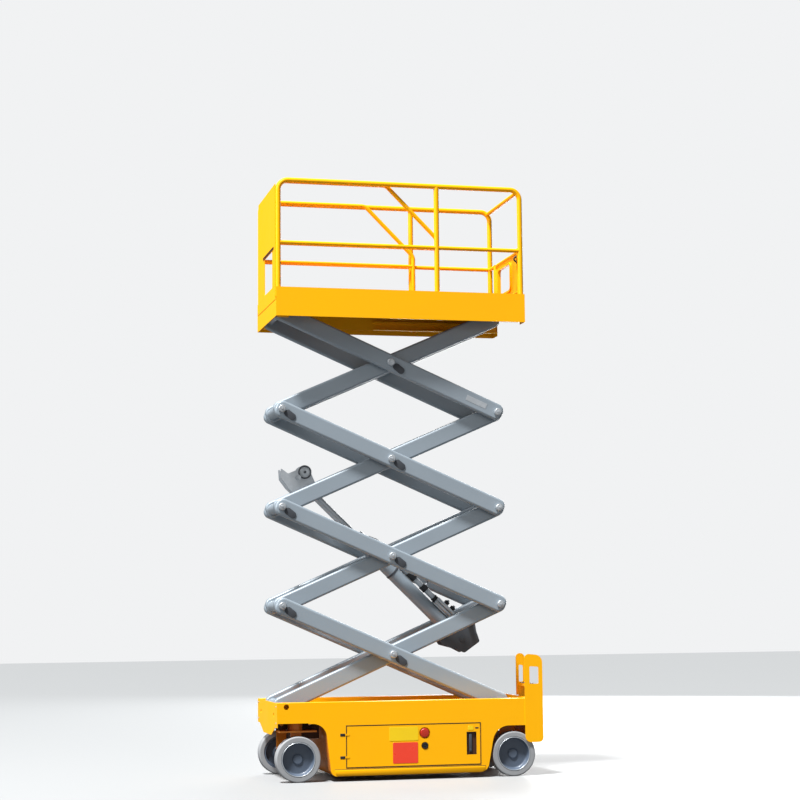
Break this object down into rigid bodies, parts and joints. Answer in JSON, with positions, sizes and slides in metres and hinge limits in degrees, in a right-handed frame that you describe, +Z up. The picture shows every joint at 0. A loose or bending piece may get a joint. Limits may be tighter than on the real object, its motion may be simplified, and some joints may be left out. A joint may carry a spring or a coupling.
{
  "type": "scissor lift",
  "caption": "Self-propelled scissor lift with a railed platform, roll-out deck extension, entry gate, steered front wheels and swing-out trays.",
  "frame": {"origin": "on the floor, below the centre of the bounding box", "axes": "+X towards the entry ladder at the rear, +Y to the far side, +Z up"},
  "size_m": [1.763, 0.769, 3.8997],
  "materials": {
    "yellow_enamel": "gloss",
    "orange_enamel": "satin",
    "grey_enamel": "satin",
    "charcoal_enamel": "satin",
    "zinc_steel": "satin",
    "chromed_rod": "polished",
    "grey_rubber": "matte",
    "slate_enamel": "satin",
    "red_plastic": "gloss",
    "black_plastic": "matte",
    "checker_deck": "satin"
  },
  "bodies": {
    "chassis": {"chassis_shell": "yellow_enamel", "chassis_skirts": "yellow_enamel", "chassis_pan": "orange_enamel", "chassis_trough": "orange_enamel", "lower_pivot_shaft": "zinc_steel", "battery_block": "black_plastic", "pump_block": "charcoal_enamel", "entry_ladder": "yellow_enamel", "front_axle": "orange_enamel", "rear_axle": "orange_enamel"},
    "scissor_a1": {"arms_a1": "grey_enamel", "cylinder_bracket": "charcoal_enamel"},
    "scissor_b1": {"arms_b1": "grey_enamel", "pins_b1": "zinc_steel"},
    "scissor_a2": {"arms_a2": "grey_enamel"},
    "scissor_b2": {"arms_b2": "grey_enamel", "pins_b2": "zinc_steel"},
    "scissor_a3": {"arms_a3": "grey_enamel", "rod_lugs": "zinc_steel"},
    "scissor_b3": {"arms_b3": "grey_enamel", "pins_b3": "zinc_steel"},
    "scissor_a4": {"arms_a4": "grey_enamel", "upper_roller_shaft": "zinc_steel"},
    "scissor_b4": {"arms_b4": "grey_enamel", "pins_b4": "zinc_steel"},
    "barrel": {"lift_barrel": "grey_enamel", "cylinder_valve": "zinc_steel"},
    "rod": {"lift_rod": "chromed_rod"},
    "platform": {"toe_boards": "yellow_enamel", "platform_ends": "yellow_enamel", "deck": "checker_deck", "guardrails": "yellow_enamel", "end_rails": "yellow_enamel"},
    "gate": {"gate": "yellow_enamel"},
    "extension": {"extension_deck": "yellow_enamel", "extension_rails": "yellow_enamel", "end_panel": "yellow_enamel"},
    "door_near": {"tray_door_near": "yellow_enamel", "stop_button": "red_plastic", "key_switch": "black_plastic"},
    "door_far": {"tray_door_far": "yellow_enamel"},
    "yoke_near": {"yoke_near": "orange_enamel"},
    "yoke_far": {"yoke_far": "orange_enamel"},
    "tie_rod": {"tie_rod": "zinc_steel"},
    "wheel_front_near": {"tyre_front_near": "grey_rubber", "wheel_disc_front_near": "slate_enamel"},
    "wheel_front_far": {"tyre_front_far": "grey_rubber", "wheel_disc_front_far": "slate_enamel"},
    "wheel_rear_near": {"tyre_rear_near": "grey_rubber", "wheel_disc_rear_near": "slate_enamel"},
    "wheel_rear_far": {"tyre_rear_far": "grey_rubber", "wheel_disc_rear_far": "slate_enamel"}
  },
  "joints": [
    {"name": "scissor_raise", "type": "hinge", "parent": "chassis", "child": "scissor_a1", "pos_m": [-0.8165, 0, 0.474], "axis": [0, -1, 0], "range_deg": [-19.1, 31.8]},
    {"name": "joint_a1_b1", "type": "hinge", "parent": "scissor_a1", "child": "scissor_b1", "pos_m": [-0.08528, 0, 0.79346], "axis": [0, -1, 0], "range_deg": [-64.1, 38.7]},
    {"name": "joint_a1_b2", "type": "hinge", "parent": "scissor_a1", "child": "scissor_b2", "pos_m": [0.64594, 0, 1.11292], "axis": [0, -1, 0], "range_deg": [-64.1, 38.7]},
    {"name": "joint_b2_a2", "type": "hinge", "parent": "scissor_b2", "child": "scissor_a2", "pos_m": [-0.08528, 0, 1.43239], "axis": [0, -1, 0], "range_deg": [-38.7, 64.1]},
    {"name": "joint_b2_a3", "type": "hinge", "parent": "scissor_b2", "child": "scissor_a3", "pos_m": [-0.8165, 0, 1.75185], "axis": [0, -1, 0], "range_deg": [-38.7, 64.1]},
    {"name": "joint_a3_b3", "type": "hinge", "parent": "scissor_a3", "child": "scissor_b3", "pos_m": [-0.08528, 0, 2.07131], "axis": [0, -1, 0], "range_deg": [-64.1, 38.7]},
    {"name": "joint_a3_b4", "type": "hinge", "parent": "scissor_a3", "child": "scissor_b4", "pos_m": [0.64594, 0, 2.39078], "axis": [0, -1, 0], "range_deg": [-64.1, 38.7]},
    {"name": "joint_b4_a4", "type": "hinge", "parent": "scissor_b4", "child": "scissor_a4", "pos_m": [-0.08528, 0, 2.71024], "axis": [0, -1, 0], "range_deg": [-38.7, 64.1]},
    {"name": "joint_b4_platform", "type": "hinge", "parent": "scissor_b4", "child": "platform", "pos_m": [-0.8165, 0, 3.0297], "axis": [0, -1, 0], "range_deg": [-19.6, 32.3]},
    {"name": "cylinder_swing", "type": "hinge", "parent": "scissor_a1", "child": "barrel", "pos_m": [0.42796, 0, 0.88019], "axis": [0, -1, 0], "range_deg": [-61.56, 37.17]},
    {"name": "cylinder_stroke", "type": "slide", "parent": "barrel", "child": "rod", "axis": [-0.7169, 0, 0.6972], "range_m": [-0.3384, 0.56]},
    {"name": "extension_slide", "type": "slide", "parent": "platform", "child": "extension", "axis": [-1, 0, 0], "range_m": [0, 0.85]},
    {"name": "gate_swing", "type": "hinge", "parent": "platform", "child": "gate", "pos_m": [0.7854, -0.3239, 3.2], "axis": [0, 0, 1], "range_deg": [0, 90]},
    {"name": "door_near_swing", "type": "hinge", "parent": "chassis", "child": "door_near", "pos_m": [-0.4325, -0.38, 0.217], "axis": [0, 0, -1], "range_deg": [0, 105]},
    {"name": "door_far_swing", "type": "hinge", "parent": "chassis", "child": "door_far", "pos_m": [-0.4325, 0.38, 0.217], "axis": [0, 0, 1], "range_deg": [0, 105]},
    {"name": "steer", "type": "hinge", "parent": "chassis", "child": "yoke_near", "pos_m": [-0.7375, -0.27, 0.34], "axis": [0, 0, 1], "range_deg": [-60, 60]},
    {"name": "steer_far", "type": "hinge", "parent": "chassis", "child": "yoke_far", "pos_m": [-0.7375, 0.27, 0.34], "axis": [0, 0, 1], "range_deg": [-60, 60]},
    {"name": "tie_rod_pivot", "type": "hinge", "parent": "yoke_near", "child": "tie_rod", "pos_m": [-0.6375, -0.27, 0.222], "axis": [0, 0, 1], "range_deg": [-60, 60]},
    {"name": "roll_front_near", "type": "hinge", "parent": "yoke_near", "child": "wheel_front_near", "pos_m": [-0.7375, -0.332, 0.144], "axis": [0, 1, 0], "continuous": true},
    {"name": "roll_front_far", "type": "hinge", "parent": "yoke_far", "child": "wheel_front_far", "pos_m": [-0.7375, 0.332, 0.144], "axis": [0, 1, 0], "continuous": true},
    {"name": "roll_rear_near", "type": "hinge", "parent": "chassis", "child": "wheel_rear_near", "pos_m": [0.6845, -0.332, 0.144], "axis": [0, 1, 0], "continuous": true},
    {"name": "roll_rear_far", "type": "hinge", "parent": "chassis", "child": "wheel_rear_far", "pos_m": [0.6845, 0.332, 0.144], "axis": [0, 1, 0], "continuous": true}
  ],
  "couplings": [
    {"joint": "joint_a1_b1", "follows": "scissor_raise", "ratio": -2},
    {"joint": "joint_a1_b2", "follows": "scissor_raise", "ratio": -2},
    {"joint": "joint_b2_a2", "follows": "scissor_raise", "ratio": 2},
    {"joint": "joint_b2_a3", "follows": "scissor_raise", "ratio": 2},
    {"joint": "joint_a3_b3", "follows": "scissor_raise", "ratio": -2},
    {"joint": "joint_a3_b4", "follows": "scissor_raise", "ratio": -2},
    {"joint": "joint_b4_a4", "follows": "scissor_raise", "ratio": 2},
    {"joint": "joint_b4_platform", "follows": "scissor_raise", "ratio": 1},
    {"joint": "cylinder_swing", "follows": "scissor_raise", "ratio": -1.92},
    {"joint": "cylinder_stroke", "follows": "scissor_raise", "m_per_rad": 1},
    {"joint": "steer_far", "follows": "steer", "ratio": 1},
    {"joint": "tie_rod_pivot", "follows": "steer", "ratio": -1}
  ]
}
